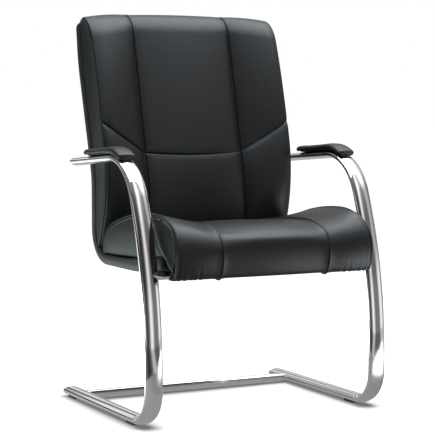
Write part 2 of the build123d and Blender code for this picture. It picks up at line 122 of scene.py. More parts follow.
# Back: the outer panels' fullness, rolled edge, flare and step to the side band
BACK_PUFF = np.array((0, 6, 1.5, 6, 6, 0))
BACK_TOP_PUFF = 3.0
BACK_ROLL_WIDTH = 28.0
BACK_ROLL_DEPTH = 7.5
BACK_FLARE = 2.5
BACK_STEP = 7.0
BACK_BAND_COLUMNS = np.array((1.6, 3.2, 4.4, 5.0))
BACK_APEX_SHIFT = np.array((7.0, 0.5))
BACK_LOWER = 240.0
BACK_UPPER = 310.0
BACK_REST_HALF = 256.0
BACK_REST_Z = (378, 926)
BACK_REST_GAP = 1.5
BACK_BULGE = 1.5
BACK_LAYERS = 12
# Valleys are (depth, width) pairs
BACK_SIDE_VALLEY = ((4.2, 1.8), (1.9, 12.0))
BACK_CROSS_VALLEY = ((3.2, 1.8), (1.0, 8.0))
BACK_SEWN_LINE = ((0.9, 1.5),)
BACK_SEWN_GAP = 6.0
BACK_EDGE_VALLEY = ((1.6, 1.6),)
BACK_EDGE_Z = (560, 700)

# Seat: rows of its profile's parts, the grid it rests on, fullness, seams and ripples
SEAT_COUNTS = (17, 40, 10, 19, 6, 6, 5)
SEAT_PUFF = 4.0
SEAT_STEP = 6.0
SEAT_BAND_COLUMNS = np.array((1.8, 3.6, 4.9, 5.5))
SEAT_BASE_Y = (104, 84, -150, -196, -226, -234, -238, NOSE_BACK)
SEAT_BASE_Z = (366.8, 365.3, 374.3, 379.3, 378.8, 366.8, 352.8, NOSE_BOTTOM + 1.8)
SEAT_REST_HALF = 251.0
SEAT_REST_BACK = 26.0
SEAT_LEAN = 4.5
SEAT_LEAN_Z = (395, 470)
SEAT_BULGE = 2.5
SEAT_LAYERS = 24
SEAT_VALLEY = ((2.8, 1.7), (2.0, 10.0))
SEAT_SEWN_LINE = ((0.8, 1.5),)
SEAT_SEWN_GAP = 8.5
RIPPLE = 0.55
RIPPLE_INNER = (165, 190)
RIPPLE_OUTER = (234, 246)
RIPPLE_Z = (340, 372)
GUSSET_CREASE = np.array(((-160, 446), (-178, 420), (-200, 392), (-222, 371), (-246, 356), (-266, 345)))

# Welt cords
WELT_RADIUS = 2.6
WELT_LIFT = 1.2
WELT_OUT = 1.4
WELT_ENDS = 5

# Cover: radii of its edges and of its front and top corners, its lip beside the seat, and its ends
COVER_TOP = 930.0
COVER_INNER = 3.5
COVER_OUTER = 8.0
COVER_MIDDLE = 12.5
COVER_FRONT = 26.0
COVER_HIGH = 18.0
COVER_CROWN = 1.6
COVER_SEWN_LINE = ((1.6, 2.0),)
COVER_SEWN_GAP = 20.0
COVER_LIP = 7.0
COVER_END = 9.0
COVER_ENDS = np.array((0, 0.6, 1.6, 3, 5, 7.5, 10.5, 14, 18, 24))

# Arm pads and the spacer strips under them
PAD_START = 85.0
PAD_HEIGHT = 12.5
PAD_RUN = 140.0
PAD_BEND_CENTRE = np.array((-41.5, 465.0))
PAD_BEND = 148.5
PAD_BEND_SPAN = (86, 114)
PAD_SHAPE = np.array((
    (0, 0), (9, 0), (17, 0), (20.5, 0.9), (22.5, 3), (22.8, 5.5),
    (21.4, 8.6), (18.6, 10.9), (14.5, 12.3), (9, 13.0), (4, 13.3), (0, 13.4),
))
PAD_REAR_END = 9.0
PAD_FRONT_END = 7.0
SPACER_EDGE = np.array(((15.5, -2.4), (16.5, -1.6), (16.5, -0.4), (15.5, 0.3)))
SPACER_ROWS = slice(4, 70)

# Sewing thread
STITCH_PITCH = 5.0
STITCH_LENGTH = 3.6
STITCH_RADIUS = 0.5
STITCH_MARGIN = 4.0
STITCH_TAPER = np.array((0.5, 0.95, 1, 0.95, 0.5))

# Most values of a noise texture lie in this span
NOISE_SPAN = (0.3, 0.7)


# Plane curves and ramps
def unit(vectors):
    return vectors / np.linalg.norm(vectors, axis=-1, keepdims=True)


def blend(first, second, share):
    return np.asarray(first, float) * (1 - share) + np.asarray(second, float) * share


def smooth_step(value, low, high):
    """Rises from 0 at low to 1 at high."""
    share = np.clip((value - low) / (high - low), 0, 1)
    return share * share * (3 - 2 * share)


def fade(value, low, high):
    """Falls from 1 at low to 0 at high."""
    return smooth_step(-value, -high, -low)


def rounded(distance, length, least):
    """Rises in a quarter circle over a length from an end, from about the root of least to 1."""
    return np.sqrt(np.maximum(least, 1 - np.maximum(0.0, 1 - distance / length) ** 2))


def valley(distance, pairs):
    """Depth of a seam at some distance from it."""
    return sum(depth * np.exp(-(distance / width) ** 2) for depth, width in pairs)


def arc_to(start, heading, end, count=160):
    """Points of the arc that leaves start in a heading and reaches end."""
    start, heading, end = (np.asarray(v, float) for v in (start, heading, end))
    heading = heading / np.linalg.norm(heading)
    left = np.array((-heading[1], heading[0]))
    chord = end - start
    turn = 2 * math.atan2(chord @ left, chord @ heading)
    share = np.linspace(0, 1, count)[:, None]
    if abs(turn) < 1e-6:
        return start + chord * share
    radius = np.linalg.norm(chord) / (2 * math.sin(abs(turn) / 2)) * math.copysign(1, turn)
    angle = turn * share
    return start + radius * (heading * np.sin(angle) + left * (1 - np.cos(angle)))


def arc_through(start, middle, end):
    """Points of the arc through three points."""
    a, b, c = (complex(*p) for p in (start, middle, end))
    w = (c - a) / (b - a)
    centre = a + (b - a) * (w - abs(w) ** 2) / (2j * w.imag)
    spoke = a - centre
    heading = np.array((-spoke.imag, spoke.real))
    if heading @ (np.array(middle) - np.array(start)) < 0:
        heading = -heading
    return arc_to(start, heading, end)


def heading_at_end(points):
    return points[-1] - points[-2]


def lengths(points):
    """Distances along a polyline to its points, or along each row of a grid of points."""
    steps = np.linalg.norm(np.diff(points, axis=-2), axis=-1)
    return np.concatenate((np.zeros_like(steps[..., :1]), np.cumsum(steps, axis=-1)), axis=-1)


def sample(values, along, wanted):
    """Values at wanted distances, from values at the distances along."""
    return np.stack([np.interp(wanted, along, values[:, axis]) for axis in range(values.shape[1])], -1)


def at_shares(points, shares):
    """Points at shares of a polyline's length."""
    along = lengths(points)
    return sample(points, along, np.asarray(shares) * along[-1])


def places(length, step, fine_low=False, fine_high=False):
    """Distances from 0 to length, closer together near the ends that carry a seam."""
    low = np.array(NEAR_SEAM if fine_low else (0.0,))
    high = length - (np.array(NEAR_SEAM[::-1]) if fine_high else np.array((0.0,)))
    count = max(2, round((high[0] - low[-1]) / step) + 1)
    return np.concatenate((low, np.linspace(low[-1], high[0], count)[1:-1], high))


def cushion_columns(seam, corner, outer_step, band):
    """Places across a cushion, from its left side band to its right one."""
    panel = seam + places(corner - seam, outer_step, True, True)[1:]
    half = np.concatenate((places(seam, MESH_STEP, fine_high=True), panel, corner + band))
    return np.concatenate((-half[:0:-1], half))


# Inner face of the shell in side view
def shell_line():
    """Points of the shell's inner face, from the front of the seat to the top of the back."""
    heights = np.arange(SHELL_CORNER[1], SHELL_END, 1.0)
    slope = np.interp(heights, *BACK_SLOPES)
    upright = SHELL_CORNER[0] + SHELL_BEND + np.concatenate(([0], np.cumsum((slope[1:] + slope[:-1]) / 2)))
    angle = np.radians(np.linspace(-90, 0, 40))
    corner = np.array(SHELL_CORNER) + SHELL_BEND * np.stack((np.cos(angle), np.sin(angle)), -1)
    run = np.linspace(SHELL_FRONT, SHELL_CORNER[0], 120)
    seat = np.stack((run, SEAT_Z + np.interp(run, *SEAT_RISES)), -1)
    return np.concatenate((seat[:-1], corner[:-1], np.stack((upright, heights), -1)))


SHELL = shell_line()


def shell_y(z):
    """How far back the shell's inner face is at a height on the back."""
    part = SHELL[np.argmin(np.abs(SHELL[:, 0] - SHELL_CORNER[0])):]
    return np.interp(z, part[:, 1], part[:, 0])


# Meshes
def new_object(name, verts, faces):
    mesh = bpy.data.meshes.new(name)
    mesh.from_pydata((np.asarray(verts) * MM).tolist(), [], faces)
    mesh.validate()
    mesh.polygons.foreach_set("use_smooth", [True] * len(mesh.polygons))
    mesh.update()
    obj = bpy.data.objects.new(name, mesh)
    scene.collection.objects.link(obj)
    return obj


def points_of(mesh):
    co = np.empty(len(mesh.vertices) * 3)
    mesh.vertices.foreach_get("co", co)
    return co.reshape(-1, 3) / MM


def normals_of(mesh):
    co = np.empty(len(mesh.vertices) * 3)
    mesh.vertex_normals.foreach_get("vector", co)
    return co.reshape(-1, 3)


def set_points(obj, points):
    obj.data.vertices.foreach_set("co", (points * MM).ravel())
    obj.data.update()


def press(obj, points, chosen, sink):
    """Moves chosen points in along the normals."""
    points[chosen] -= normals_of(obj.data)[chosen] * sink[:, :, None]


def quads(grid):
    """Faces between the vertex numbers of a grid."""
    corners = grid[:-1, :-1], grid[1:, :-1], grid[1:, 1:], grid[:-1, 1:]
    return np.stack(corners, -1).reshape(-1, 4)


def box_grid(name, face, rest, depth, wall):
    """A closed cushion: a face grid, the grid it rests on, and walls of layers between their borders.

    wall(face_point, rest_point, share, place) gives a wall's points; place is left, right, low or high.
    Returns the object and the vertex number at each (column, row, layer), or -1 inside."""
    columns, rows = face.shape[:2]
    number = -np.ones((columns, rows, depth + 1), int)
    verts = []
    for i in range(columns):
        for j in range(rows):
            edge = i in (0, columns - 1) or j in (0, rows - 1)
            for k in range(depth + 1):
                if not (edge or k in (0, depth)):
                    continue
                if k == 0:
                    point = face[i, j]
                elif k == depth:
                    point = rest[i, j]
                else:
                    where = "low" if j == 0 else "high" if j == rows - 1 else "left" if i == 0 else "right"
                    point = wall(face[i, j], rest[i, j], k / depth, where)
                number[i, j, k] = len(verts)
                verts.append(point)
    faces = [
        quads(number[:, :, 0]), quads(number[:, :, depth])[:, ::-1], quads(number[0])[:, ::-1],
        quads(number[-1]), quads(number[:, 0]), quads(number[:, -1])[:, ::-1],
    ]
    return new_object(name, verts, np.concatenate(faces).tolist()), number


def bulged(face, rest, share, place, bulge):
    """A point of a cushion's wall, which swells sideways at the left and the right."""
    point = face * (1 - share) + rest * share
    if place in ("left", "right"):
        point[0] += math.copysign(bulge * math.sin(math.pi * share), point[0])
    return point


def panel_line(x, seam, corner, centre_line, seam_line, corner_line):
    """Side-view points of a cushion at a place across it, and how full its outer panel is there."""
    if x <= seam:
        return blend(seam_line, centre_line, 1 - (x / seam) ** 2), 0.0
    share = min(1.0, (x - seam) / (corner - seam))
    return blend(seam_line, corner_line, share), 4 * share * (1 - share)


def edge_step(x, corner, band, depth):
    """How far a cushion's face has turned down between its corner and its side band."""
    lean = (x - corner) / (band - corner)
    return depth * (1 - math.sqrt(max(0.0, 1 - lean * lean)))


def ring_faces(rings, sides):
    """Faces of a row of closed rings, with a face over each end."""
    faces = []
    for r in range(rings - 1):
        for s in range(sides):
            t = (s + 1) % sides
            faces.append((r * sides + s, r * sides + t, (r + 1) * sides + t, (r + 1) * sides + s))
    faces.append(tuple(range(sides))[::-1])
    faces.append(tuple((rings - 1) * sides + s for s in range(sides)))
    return faces


def tube(centre, radius, sides=10):
    """Points and faces of a round cord along points, with closed ends."""
    centre = np.asarray(centre, float)
    tangent = unit(np.gradient(centre, axis=0))
    side = unit(np.cross(tangent, SKEW))
    up = np.cross(tangent, side)
    angle = np.linspace(0, 2 * math.pi, sides, endpoint=False)
    radius = np.broadcast_to(radius, len(centre))
    ring = side[:, None] * np.cos(angle)[None, :, None] + up[:, None] * np.sin(angle)[None, :, None]
    verts = (centre[:, None] + ring * radius[:, None, None]).reshape(-1, 3)
    return verts, ring_faces(len(centre), sides)


def joined(shapes):
    """Points and faces of several shapes as one."""
    verts, faces = [], []
    for points, shape_faces in shapes:
        faces.extend(tuple(v + len(verts) for v in face) for face in shape_faces)
        verts.extend(points.tolist())
    return verts, faces


def outward(obj):
    """Turns all faces of a closed mesh outwards."""
    mesh = bmesh.new()
    mesh.from_mesh(obj.data)
    bmesh.ops.recalc_face_normals(mesh, faces=mesh.faces)
    mesh.to_mesh(obj.data)
    mesh.free()
    obj.data.update()
    return obj


def swept(line, normal, across, high):
    """Rings round a line in side view, from places across and heights along the line's normals."""
    rings = np.empty((len(line), np.shape(high)[-1], 3))
    rings[:, :, 0] = across
    rings[:, :, 1:] = line[:, None] + normal[:, None] * np.broadcast_to(high, rings.shape[:2])[:, :, None]
    return rings


def ringed(name, rings):
    """A closed object from a row of rings."""
    return outward(new_object(name, rings.reshape(-1, 3), ring_faces(*rings.shape[:2])))


def held_points(obj, number, across, end_rows, seams):
    """Marks the vertices that don't swell: the side on the shell, some end rows and the seams."""
    held = np.zeros(len(obj.data.vertices), bool)
    held[number[:, :, -1].ravel()] = True
    for row in end_rows:
        end = number[:, row]
        held[end[end >= 0]] = True
    for seam in seams:
        for x in (-seam, seam):
            held[number[np.argmin(np.abs(across - x)), :, 0]] = True
    return held


def smoothed(obj, values, held):
    """Values at the vertices, averaged with their neighbours' so that no small wrinkles are left."""
    ends = np.empty(len(obj.data.edges) * 2, int)
    obj.data.edges.foreach_get("vertices", ends)
    first, second = ends.reshape(-1, 2).T
    shared = np.bincount(np.concatenate((first, second)), minlength=len(values))[:, None]
    for _ in range(SMOOTH_ROUNDS):
        total = np.zeros_like(values)
        np.add.at(total, first, values[second])
        np.add.at(total, second, values[first])
        values = np.where(held[:, None], values, 0.5 * values + 0.5 * total / shared)
    return values


def inflate(obj, held, pressure, most):
    """Swells a cushion between its held points by cloth simulation, up to most, and applies that."""
    before = points_of(obj.data)
    group = obj.vertex_groups.new(name="held")
    group.add(np.nonzero(held)[0].tolist(), 1.0, "REPLACE")
    cloth = obj.modifiers.new("swell", "CLOTH")
    settings = cloth.settings
    settings.quality = 4
    settings.mass = 0.3
    settings.tension_stiffness = 12
    settings.compression_stiffness = 12
    settings.shear_stiffness = 6
    settings.bending_stiffness = 4
    settings.use_pressure = True
    settings.uniform_pressure_force = pressure
    settings.vertex_group_mass = "held"
    settings.effector_weights.gravity = 0
    cloth.collision_settings.use_collision = False
    cloth.point_cache.frame_start = 1
    cloth.point_cache.frame_end = SWELL_FRAMES
    for number in range(1, SWELL_FRAMES + 1):
        scene.frame_set(number)
    swollen = obj.evaluated_get(bpy.context.evaluated_depsgraph_get())
    after = points_of(swollen.to_mesh())
    swollen.to_mesh_clear()
    obj.modifiers.remove(cloth)
    obj.vertex_groups.clear()
    scene.frame_set(1)
    move = smoothed(obj, after - before, held)
    size = np.linalg.norm(move, axis=1)
    capped = most * np.tanh(size / most)
    move *= (capped / np.maximum(size, 1e-9))[:, None]
    set_points(obj, before + move)


# Materials
def add(tree, kind, **values):
    """A new shader node, with values for its inputs."""
    node = tree.nodes.new("ShaderNode" + kind)
    for name, value in values.items():
        node.inputs[name.replace("_", " ")].default_value = value
    return node


def material(name):
    made = bpy.data.materials.new(name)
    made.use_nodes = True
    tree = made.node_tree
    shader = tree.nodes["Principled BSDF"]
    coords = add(tree, "TexCoord").outputs["Object"]
    return made, tree, shader, coords


def noise(tree, coords, scale, detail=2.0, rough=0.5):
    node = add(tree, "TexNoise", Scale=scale, Detail=detail, Roughness=rough)
    tree.links.new(coords, node.inputs["Vector"])
    return node.outputs["Fac"]


def ranged(tree, value, low, high, span=NOISE_SPAN):
    """Maps a span of values to the range from low to high."""
    node = add(tree, "MapRange", From_Min=span[0], From_Max=span[1], To_Min=low, To_Max=high)
    tree.links.new(value, node.inputs["Value"])
    return node.outputs["Result"]


def ramp(tree, value, dark, light, span=NOISE_SPAN):
    """Maps a span of values to colours from dark to light."""
    node = add(tree, "ValToRGB")
    for element, place, colour in zip(node.color_ramp.elements, span, (dark, light)):
        element.position = place
        element.color = (*colour, 1)
    tree.links.new(value, node.inputs["Fac"])
    return node.outputs["Color"]


def feed(shader, socket, value):
    shader.id_data.links.new(value, shader.inputs[socket])


def bump(tree, height, distance, strength, below=None):
    node = add(tree, "Bump", Strength=strength, Distance=distance)
    tree.links.new(height, node.inputs["Height"])
    if below is not None:
        tree.links.new(below, node.inputs["Normal"])
    return node.outputs["Normal"]


def leather(name, dark, light, rough_low, rough_high):
    """Black corrected-grain leather: pebbled grain, soft creases and slightly uneven gloss."""
    made, tree, shader, coords = material(name)
    grain = add(tree, "TexVoronoi", Scale=620)
    grain.feature = "DISTANCE_TO_EDGE"
    tree.links.new(coords, grain.inputs["Vector"])
    pebble = ranged(tree, grain.outputs["Distance"], 0, 1, (0.0, 0.22))
    fine = noise(tree, coords, 1500, 2)
    crease = noise(tree, coords, 55, 4, 0.6)
    broad = noise(tree, coords, 9, 3)
    first = bump(tree, crease, 0.0010, 0.16)
    second = bump(tree, pebble, 0.00016, 0.25, first)
    third = bump(tree, fine, 0.00008, 0.18, second)
    feed(shader, "Normal", third)
    feed(shader, "Base Color", ramp(tree, broad, dark, light))
    feed(shader, "Roughness", ranged(tree, crease, rough_low, rough_high))
    shader.inputs["Specular IOR Level"].default_value = 0.45
    shader.inputs["Specular Tint"].default_value = (0.87, 0.94, 1.0, 1)
    return made


def metal(name, haze, tint, rough, dark, light):
    """Plated metal with uneven gloss and tint, each from a noise of some scale and detail."""
    made, tree, shader, coords = material(name)
    shader.inputs["Metallic"].default_value = 1.0
    feed(shader, "Roughness", ranged(tree, noise(tree, coords, *haze), *rough))
    feed(shader, "Base Color", ramp(tree, noise(tree, coords, *tint), dark, light))
    return made


def moulded(name, dark, light, rough_low, rough_high, scale, height):
    """Moulded plastic, paint or thread with a fine even texture."""
    made, tree, shader, coords = material(name)
    texture = noise(tree, coords, scale, 3, 0.6)
    broad = noise(tree, coords, 14, 3)
    feed(shader, "Base Color", ramp(tree, broad, dark, light))
    feed(shader, "Roughness", ranged(tree, broad, rough_low, rough_high))
    feed(shader, "Normal", bump(tree, texture, height, 0.35))
    return made


def veneer(name):
    """Bare moulded plywood with long grain."""
    made, tree, shader, coords = material(name)
    stretch = add(tree, "Mapping", Scale=(60, 4, 4))
    tree.links.new(coords, stretch.inputs["Vector"])
    grain = noise(tree, stretch.outputs["Vector"], 2.0, 5, 0.65)
    feed(shader, "Base Color", ramp(tree, grain, (0.42, 0.29, 0.17), (0.62, 0.47, 0.31)))
    feed(shader, "Roughness", ranged(tree, grain, 0.55, 0.7))
    feed(shader, "Normal", bump(tree, grain, 0.0003, 0.3))
    return made


SEAT_LEATHER = leather("leather", (0.003, 0.003, 0.0033), (0.0042, 0.0042, 0.0046), 0.41, 0.47)
# The same black leather as the cushions with a lighter colour: painted light, for the cover's lit front end
PAINTED_LIGHT_COVER_LEATHER = leather("cover_leather", (0.008, 0.0083, 0.0083), (0.011, 0.0115, 0.0115), 0.38, 0.44)
PAD_SKIN = moulded("pad_skin", (0.007, 0.007, 0.0073), (0.009, 0.009, 0.0095), 0.42, 0.5, 900, 0.00012)
PLASTIC = moulded("plastic", (0.014,) * 3, (0.020,) * 3, 0.45, 0.58, 1300, 0.0001)
COATING = moulded("powder_coat", (0.018,) * 3, (0.026,) * 3, 0.42, 0.52, 700, 0.00015)
THREAD = moulded("thread", (0.018, 0.018, 0.019), (0.03, 0.03, 0.031), 0.45, 0.55, 2500, 0.0001)
CHROME = metal("chrome", (40, 4, 0.6), (6, 2), (0.045, 0.095), (0.80, 0.80, 0.81), (0.86, 0.86, 0.86))
ZINC = metal("zinc", (120, 4), (120, 4), (0.28, 0.42), (0.50, 0.51, 0.53), (0.66, 0.67, 0.67))
WOOD = veneer("plywood")


def dress(obj, made):
    obj.data.materials.clear()
    obj.data.materials.append(made)


def fit_out(obj, made, slot, *replaced):
    """Gives a piece its material, puts it under the root body and hides the CAD nodes it stands for."""
    dress(obj, made)
    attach(obj, "root")
    if replaced:
        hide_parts(*replaced)
    return obj


# Back cushion
def back_line(x):
    """Side-view points of the back at a place across it."""
    line, puff = panel_line(x, BACK_SEAM, BACK_CORNER, *BACK_LINES)
    line[:, 0] -= BACK_PUFF * puff
    line[-1, 1] += BACK_TOP_PUFF * puff
    rolled = max(0.0, min(x, BACK_CORNER) - BACK_CORNER + BACK_ROLL_WIDTH) / BACK_ROLL_WIDTH
    flared = smooth_step(x, BACK_SEAM + 40, BACK_CORNER)
    line[1:, 0] += BACK_ROLL_DEPTH * rolled**2 - BACK_FLARE * flared
    if x > BACK_CORNER:
        step = edge_step(x, BACK_CORNER, BACK_BAND, BACK_STEP)
        line[:, 0] += step
        line[-1, 1] -= step
    return line


def back_profile(line, low, high, over):
    """Points up the front of the back and over its top, the same number at every place."""
    foot, low_middle, seam, high_middle, shoulder, apex = line
    lower = arc_through(foot, low_middle, seam)
    upper = arc_through(seam, high_middle, shoulder)
    roll = arc_to(shoulder, heading_at_end(upper), apex - BACK_APEX_SHIFT)
    return np.concatenate((at_shares(lower, low)[:-1], at_shares(upper, high), at_shares(roll, over)[1:]))


def back_wall(front, rear, share, place):
    """A point of the back's walls. The top one curves over to the rear."""
    if place == "high":
        knee = np.array((rear[0], rear[1] + 1, front[2] + 0.5))
        return front * (1 - share) ** 2 + 2 * knee * share * (1 - share) + rear * share**2
    return bulged(front, rear, share, place, BACK_BULGE)


def make_back():
    low = places(BACK_LOWER, MESH_STEP, fine_high=True) / BACK_LOWER
    high = places(BACK_UPPER, MESH_STEP, fine_low=True) / BACK_UPPER
    over = np.linspace(0, 1, 14)
    seam_row = len(low) - 1
    across = cushion_columns(BACK_SEAM, BACK_CORNER, MESH_STEP, BACK_BAND_COLUMNS)
    rows = len(low) + len(high) + len(over) - 2
    face = np.empty((len(across), rows, 3))
    rest = np.empty_like(face)
    heights = np.linspace(*BACK_REST_Z, rows)
    for i, x in enumerate(across):
        face[i, :, 0] = x
        face[i, :, 1:] = back_profile(back_line(abs(x)), low, high, over)
        rest[i, :, 0] = x * BACK_REST_HALF / BACK_BAND
        rest[i, :, 1] = shell_y(heights) - BACK_REST_GAP
        rest[i, :, 2] = heights
    obj, number = box_grid("back_leather", face, rest, BACK_LAYERS, back_wall)
    held = held_points(obj, number, across, (0,), (BACK_SEAM, BACK_CORNER))
    held[number[:, seam_row, 0]] = True
    inflate(obj, held, pressure=4.0, most=12.0)

    points = points_of(obj.data)
    front = number[:, :, 0]
    along = lengths(points[front])
    to_cross = along - along[:, seam_row:seam_row + 1]
    to_side = np.abs(np.abs(across) - BACK_SEAM)[:, None]
    to_corner = np.abs(np.abs(across) - BACK_CORNER)[:, None]
    edge = valley(to_corner, BACK_EDGE_VALLEY) * fade(points[front][:, :, 2], *BACK_EDGE_Z)
    sink = np.maximum(valley(to_side, BACK_SIDE_VALLEY), valley(to_cross, BACK_CROSS_VALLEY))
    sink = np.maximum(sink, valley(to_cross + BACK_SEWN_GAP, BACK_SEWN_LINE))
    sink = np.maximum(sink, edge)
    press(obj, points, front, sink)
    set_points(obj, points)
    return obj, number, across, seam_row


back, back_number, back_across, back_row = make_back()
fit_out(back, SEAT_LEATHER, "leather_black", "back_cushion")


# Seat cushion
def seat_line(x):
    """Side-view points of the seat at a place across it."""
    line, puff = panel_line(x, SEAT_SEAM, SEAT_CORNER, *SEAT_LINES)
    line[2, 1] += SEAT_PUFF * puff
    line[3, 0] -= SEAT_PUFF * puff
    if x > SEAT_CORNER:
        step = edge_step(x, SEAT_CORNER, SEAT_BAND, SEAT_STEP)
        line[:2, 0] -= step
        line[1:3, 1] -= step
        line[3, 0] += step
    return line


def seat_profile(line, shares):
    """Points from the rear foot over the top and the front roll to the back of the nose."""
    foot, rear_top, crest, front = line
    sine, cosine = math.sin(ROLL_SPLIT), math.cos(ROLL_SPLIT)
    reach, drop = crest[0] - front[0], crest[1] - front[1]
    first = (reach * cosine - drop * (1 - sine)) / (sine * cosine - (1 - sine) * (1 - cosine))
    split = crest + first * np.array((-sine, cosine - 1))
    crown = arc_to(crest, (1, 0), rear_top)
    rear = arc_to(rear_top, heading_at_end(crown), foot)
    near = arc_to(crest, (-1, 0), split)
    far = arc_to(split, (-cosine, -sine), front)
    nose_top = np.array((front[0] + NOSE_TUCK, NOSE_BOTTOM + NOSE_ROUND[1]))
    nose_end = np.array((front[0] + NOSE_TUCK + NOSE_ROUND[0], NOSE_BOTTOM))
    fall = arc_to(front, (0, -1), nose_top)
    nose = arc_to(nose_top, heading_at_end(fall), nose_end)
    under = np.linspace(nose_end, (NOSE_BACK, NOSE_BOTTOM), 20)
    parts = (rear[::-1], crown[::-1], near, far, fall, nose, under)
    return np.concatenate([at_shares(part, share)[:-1] for part, share in zip(parts, shares)] + [under[-1:]])


def gusset_move(flat):
    """How far points of the seat's side panels, in side view, go in at the crease or out beside it."""
    knots = range(len(GUSSET_CREASE))
    crease = sample(GUSSET_CREASE, knots, np.linspace(0, knots[-1], 120))
    gap = np.linalg.norm(flat[:, None] - crease[None], axis=2)
    nearest = crease[np.argmin(gap, axis=1)]
    away = np.min(gap, axis=1) * np.sign(flat[:, 0] - nearest[:, 0])
    return valley(away, ((7.0, 6.5),)) + valley(away - 14, ((1.5, 14.0),)) - valley(away + 18, ((5.0, 13.0),))


def make_seat():
    shares = [np.linspace(0, 1, count) for count in SEAT_COUNTS]
    across = cushion_columns(SEAT_SEAM, SEAT_CORNER, FINE_STEP, SEAT_BAND_COLUMNS)
    part_rows = np.concatenate(([0], np.cumsum([count - 1 for count in SEAT_COUNTS])))
    row = np.arange(part_rows[-1] + 1)
    face = np.empty((len(across), len(row), 3))
    rest = np.empty_like(face)
    for i, x in enumerate(across):
        outer = smooth_step(abs(x), SEAT_SEAM, SEAT_CORNER)
        face[i, :, 0] = x
        face[i, :, 1:] = seat_profile(seat_line(abs(x)), shares)
        inside = smooth_step(face[i, :, 2], *SEAT_LEAN_Z) * outer
        face[i, :, 0] -= math.copysign(SEAT_LEAN, x) * inside
        rest[i, :, 0] = x * SEAT_REST_HALF / SEAT_BAND
        rest[i, :, 1] = np.interp(row, part_rows, SEAT_BASE_Y) + SEAT_REST_BACK * outer * (row < 1)
        rest[i, :, 2] = np.interp(row, part_rows, SEAT_BASE_Z)
    obj, number = box_grid("seat_leather", face, rest, SEAT_LAYERS, partial(bulged, bulge=SEAT_BULGE))
    inflate(obj, held_points(obj, number, across, (0, -1), (SEAT_SEAM, SEAT_CORNER)), pressure=3.0, most=5.0)

    points = points_of(obj.data)
    front = number[:, :, 0]
    outer = np.abs(across)[:, None]
    sewn = valley(SEAT_CORNER - outer - SEAT_SEWN_GAP, SEAT_SEWN_LINE)
    sink = np.maximum(valley(np.abs(outer - SEAT_SEAM), SEAT_VALLEY), sewn)
    ripple = np.sin(outer * 0.48) + 0.7 * np.sin(outer * 0.31 + 1.0)
    gathered = smooth_step(outer, *RIPPLE_INNER) * fade(outer, *RIPPLE_OUTER)
    sink = sink + RIPPLE * ripple * gathered * fade(points[front][:, :, 2], *RIPPLE_Z)
    press(obj, points, front, sink)
    for side in (number[0], number[-1]):
        chosen = side[1:-1, 1:-1].ravel()
        points[chosen, 0] -= np.sign(points[chosen, 0]) * gusset_move(points[chosen][:, 1:])
    set_points(obj, points)
    return obj, number, across


seat, seat_number, seat_across = make_seat()
fit_out(seat, SEAT_LEATHER, "leather_black", "seat_cushion")


# Welt cords round the seat's side panels
def make_welt(sign, side):
    column = np.argmin(np.abs(seat_across - sign * SEAT_CORNER))
    seam = seat_number[column, :, 0]
    lifted = points_of(seat.data)[seam] + normals_of(seat.data)[seam] * WELT_LIFT
    path = lifted + np.array((sign * WELT_OUT, 0, 0))
    dense = at_shares(path[WELT_ENDS:-WELT_ENDS], np.linspace(0, 1, 150))
    obj = outward(new_object("welt_" + side, *tube(dense, WELT_RADIUS)))
    fit_out(obj, SEAT_LEATHER, "leather_black", "seat_piping_" + side)


for sign, side in SIDES:
    make_welt(sign, side)


# Padded leather cover behind and under the shell
def cover_section():
    """Points round the cover: places across, and depths behind the shell's inner face."""
    angle = np.radians(np.linspace(0, 90, 7))
    small, large = COVER_INNER, COVER_OUTER
    inner = [(SHELL_HALF - small + small * math.sin(a), 2.7 - small * math.cos(a)) for a in angle[::2]]
    side = [(SHELL_HALF + 0.6, 6.0), (SHELL_HALF + 0.9, 9.5), (SHELL_HALF + 0.7, 13.0)]
    outer = [
        (SHELL_HALF - large + large * math.cos(a), SHELL_DEPTH - large + large * math.sin(a)) for a in angle
    ]
    rear = []
    for x in places(SHELL_HALF - 9, 2 * MESH_STEP, False, True)[::-1]:
        crown = COVER_CROWN * (1 - (x / 250) ** 2)
        rear.append((x, SHELL_DEPTH + crown - valley(SHELL_HALF - COVER_SEWN_GAP - x, COVER_SEWN_LINE)))
    right = inner + side + outer + rear
    left = [(-x, depth) for x, depth in right[-2::-1]]
    return np.array(right + left + [(x, -0.8) for x in np.linspace(-240, 240, 9)])


def make_cover():
    path = SHELL[:np.argmin(np.abs(SHELL[:, 1] - COVER_TOP)) + 1]
    steps = lengths(path)
    total, margin = steps[-1], COVER_ENDS[-1]
    middle = np.linspace(margin, total - margin, 130)[1:-1]
    stations = np.concatenate((COVER_ENDS, middle, total - COVER_ENDS[::-1]))
    line = sample(path, steps, stations)
    tangent = unit(np.gradient(line, stations, axis=0))
    normal = np.stack((tangent[:, 1], -tangent[:, 0]), -1)
    section = cover_section()
    near = np.minimum(stations, total - stations)
    in_front = stations < total / 2
    corner = np.where(in_front, COVER_FRONT, COVER_HIGH)
    half = SHELL_HALF - corner + np.sqrt(corner**2 - np.maximum(0.0, corner - near) ** 2)
    thin = rounded(near, COVER_END, 0.02)[:, None]
    lip = (COVER_LIP * fade(line[:, 0], -140, 60) * in_front)[:, None]
    lip = lip * smooth_step(np.abs(section[:, 0]), 253, 255.4) * fade(section[:, 1], 0, COVER_END)
    depth = COVER_MIDDLE + (section[:, 1] - lip - COVER_MIDDLE) * thin
    across = section[:, 0] * (half / SHELL_HALF)[:, None] * (1 - 0.012 * (1 - thin))
    obj = ringed("cover_leather_shell", swept(line, normal, across, depth))
    return fit_out(obj, PAINTED_LIGHT_COVER_LEATHER, "leather_black", "outer_cover")


cover = make_cover()


